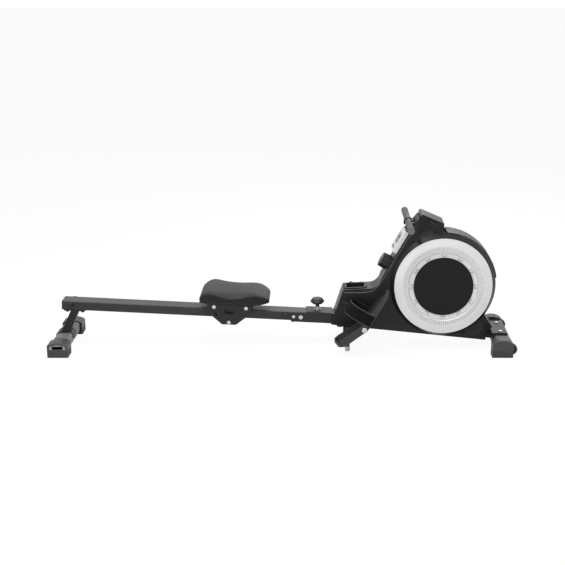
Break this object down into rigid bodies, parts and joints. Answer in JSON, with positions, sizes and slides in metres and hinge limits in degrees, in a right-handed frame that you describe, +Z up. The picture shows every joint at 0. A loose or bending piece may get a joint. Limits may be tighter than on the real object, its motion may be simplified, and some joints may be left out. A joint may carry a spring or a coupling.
{
  "type": "magnetic rowing machine",
  "caption": "Folding magnetic rowing machine with a sliding seat on a long rail, tilting foot rests, a pull handle on a strap and a flywheel behind ringed covers.",
  "frame": {"origin": "on the floor, at the middle of the whole length and width", "axes": "+X along the machine towards the flywheel, -Y the near side in the picture, +Z up"},
  "size_m": [2.075, 0.426, 0.6157],
  "materials": {
    "frame_paint": "black powder coat, fine texture",
    "rail_paint": "black satin powder coat on the rail",
    "foot_paint": "dark grey satin powder coat",
    "zinc": "bright zinc plate",
    "inner_steel": "plain steel",
    "wheel_iron": "turned cast iron",
    "housing_plastic": "near-black satin moulding",
    "dome_plastic": "black semi-gloss moulding",
    "disc_plastic": "black gloss moulding",
    "ring_silver": "silver sprayed plastic",
    "console_silver": "silver sprayed plastic",
    "screen_plastic": "dark display window",
    "cap_plastic": "dark grey moulding",
    "shoe_rubber": "black rubbery moulding",
    "stop_rubber": "black rubber",
    "light_plastic": "light grey moulding",
    "tray_plastic": "black textured moulding",
    "pedal_plastic": "black textured moulding",
    "knob_plastic": "black moulding",
    "roller_plastic": "dark nylon",
    "castor_plastic": "black hard plastic",
    "plug_plastic": "grey moulding",
    "seat_shell": "black moulding",
    "seat_vinyl": "dark grained vinyl over foam",
    "grip_foam": "dark grey closed-cell foam",
    "strap_web": "black woven webbing",
    "belt_rubber": "black ribbed belt",
    "button_red": "red moulding",
    "button_dark": "dark moulding"
  },
  "bodies": {
    "frame": {"fold_bracket": "frame_paint", "pivot_bolt": "zinc", "frame_bolts": "zinc", "lock_sleeve": "zinc", "frame_beam": "frame_paint", "front_foot_tube": "foot_paint", "front_caps": "cap_plastic", "front_shoes": "shoe_rubber", "center_stand": "frame_paint", "stand_caps": "light_plastic", "housing_near": "housing_plastic", "housing_far": "housing_plastic", "hood_shroud": "housing_plastic", "head_lid": "housing_plastic", "side_domes": "dome_plastic", "ring_cover_near": "ring_silver", "ring_cover_far": "ring_silver", "center_discs": "disc_plastic", "tray": "tray_plastic", "console_body": "console_silver", "console_screen": "screen_plastic", "handle_hooks": "housing_plastic", "strap_lead": "strap_web", "drive_belt": "belt_rubber", "drive_frame": "inner_steel", "pedal_axle": "zinc", "pull_strap": "strap_web"},
    "rail": {"rail_tube": "rail_paint", "rail_tongue": "inner_steel", "rail_end_cap": "shoe_rubber", "rail_stops": "stop_rubber", "rear_foot_tube": "foot_paint", "rear_post": "frame_paint", "rear_caps": "cap_plastic", "rear_shoes": "shoe_rubber"},
    "seat_carriage": {"carriage_plates": "frame_paint", "carriage_bolts": "zinc", "seat_base": "seat_shell", "seat_cushion": "seat_vinyl"},
    "roller_front": {"upper_roller_front": "roller_plastic"},
    "roller_rear": {"upper_roller_rear": "roller_plastic"},
    "roller_under": {"lower_roller": "roller_plastic"},
    "lock": {"lock_knob": "knob_plastic"},
    "dial": {"tension_dial": "knob_plastic"},
    "button_reset": {"reset_button": "button_red"},
    "button_mode": {"mode_button": "button_dark"},
    "handle": {"handle_tube": "frame_paint", "handle_grips": "grip_foam", "handle_plugs": "plug_plastic", "handle_sleeve": "knob_plastic"},
    "strap_roller": {"lead_roller": "roller_plastic"},
    "drum": {"strap_drum": "roller_plastic"},
    "wheel": {"flywheel": "wheel_iron"},
    "magnet": {"magnet_arm": "inner_steel"},
    "foot_near": {"pedal_near": "pedal_plastic", "foot_strap_near": "strap_web"},
    "foot_far": {"pedal_far": "pedal_plastic", "foot_strap_far": "strap_web"},
    "castor_near": {"transport_wheel_near": "castor_plastic"},
    "castor_far": {"transport_wheel_far": "castor_plastic"}
  },
  "joints": [
    {"name": "rail_fold", "type": "hinge", "parent": "frame", "child": "rail", "pos_m": [0.078, 0, 0.1402], "axis": [0, 1, 0], "range_deg": [0, 90]},
    {"name": "seat_slide", "type": "slide", "parent": "rail", "child": "seat_carriage", "axis": [-0.9988, 0, 0.0499], "range_m": [-0.135, 0.603]},
    {"name": "roller_front_turn", "type": "hinge", "parent": "seat_carriage", "child": "roller_front", "pos_m": [-0.16687, 0, 0.18507], "axis": [0, 1, 0], "continuous": true},
    {"name": "roller_rear_turn", "type": "hinge", "parent": "seat_carriage", "child": "roller_rear", "pos_m": [-0.31049, 0, 0.19225], "axis": [0, 1, 0], "continuous": true},
    {"name": "roller_under_turn", "type": "hinge", "parent": "seat_carriage", "child": "roller_under", "pos_m": [-0.24547, 0, 0.11881], "axis": [0, 1, 0], "continuous": true},
    {"name": "lock_turn", "type": "hinge", "parent": "frame", "child": "lock", "pos_m": [0.15291, 0, 0.19646], "axis": [0, 0, 1], "continuous": true},
    {"name": "dial_turn", "type": "hinge", "parent": "frame", "child": "dial", "pos_m": [0.4711, 0, 0.38153], "axis": [-0.8677, 0, 0.4971], "range_deg": [0, 300]},
    {"name": "reset_press", "type": "slide", "parent": "frame", "child": "button_reset", "axis": [0.8677, 0, -0.4971], "range_m": [0, 0.0015], "stiffness_N_per_m": 150, "springref_m": -0.003},
    {"name": "mode_press", "type": "slide", "parent": "frame", "child": "button_mode", "axis": [0.8677, 0, -0.4971], "range_m": [0, 0.0015], "stiffness_N_per_m": 150, "springref_m": -0.003},
    {"name": "handle_pull", "type": "slide", "parent": "frame", "child": "handle", "axis": [1, 0, 0], "range_m": [-0.9, 0], "stiffness_N_per_m": 25, "springref_m": 0.6, "deforming": ["pull_strap"]},
    {"name": "strap_roller_turn", "type": "hinge", "parent": "frame", "child": "strap_roller", "pos_m": [0.604, 0, 0.566], "axis": [0, 1, 0], "continuous": true},
    {"name": "drum_turn", "type": "hinge", "parent": "frame", "child": "drum", "pos_m": [0.658, 0, 0.52], "axis": [0, 1, 0], "range_deg": [0, 1215]},
    {"name": "flywheel_spin", "type": "hinge", "parent": "frame", "child": "wheel", "pos_m": [0.713, 0, 0.294], "axis": [0, 1, 0], "continuous": true},
    {"name": "magnet_swing", "type": "hinge", "parent": "frame", "child": "magnet", "pos_m": [0.53614, 0, 0.20388], "axis": [0, 1, 0], "range_deg": [-8.2, 0]},
    {"name": "pedal_near_tilt", "type": "hinge", "parent": "frame", "child": "foot_near", "pos_m": [0.3605, -0.1415, 0.125], "axis": [0, 1, 0], "range_deg": [-5, 30]},
    {"name": "pedal_far_tilt", "type": "hinge", "parent": "frame", "child": "foot_far", "pos_m": [0.3605, 0.1415, 0.125], "axis": [0, 1, 0], "range_deg": [-5, 30]},
    {"name": "castor_near_turn", "type": "hinge", "parent": "frame", "child": "castor_near", "pos_m": [1.012, -0.175, 0.034], "axis": [0, 1, 0], "continuous": true},
    {"name": "castor_far_turn", "type": "hinge", "parent": "frame", "child": "castor_far", "pos_m": [1.012, 0.175, 0.034], "axis": [0, 1, 0], "continuous": true}
  ],
  "couplings": [
    {"joint": "roller_front_turn", "follows": "seat_slide", "rad_per_m": -79.365},
    {"joint": "roller_rear_turn", "follows": "seat_slide", "rad_per_m": -79.365},
    {"joint": "roller_under_turn", "follows": "seat_slide", "rad_per_m": 57.143},
    {"joint": "strap_roller_turn", "follows": "handle_pull", "rad_per_m": 90.09},
    {"joint": "drum_turn", "follows": "handle_pull", "rad_per_m": -23.364},
    {"joint": "magnet_swing", "follows": "dial_turn", "ratio": -0.026667}
  ]
}
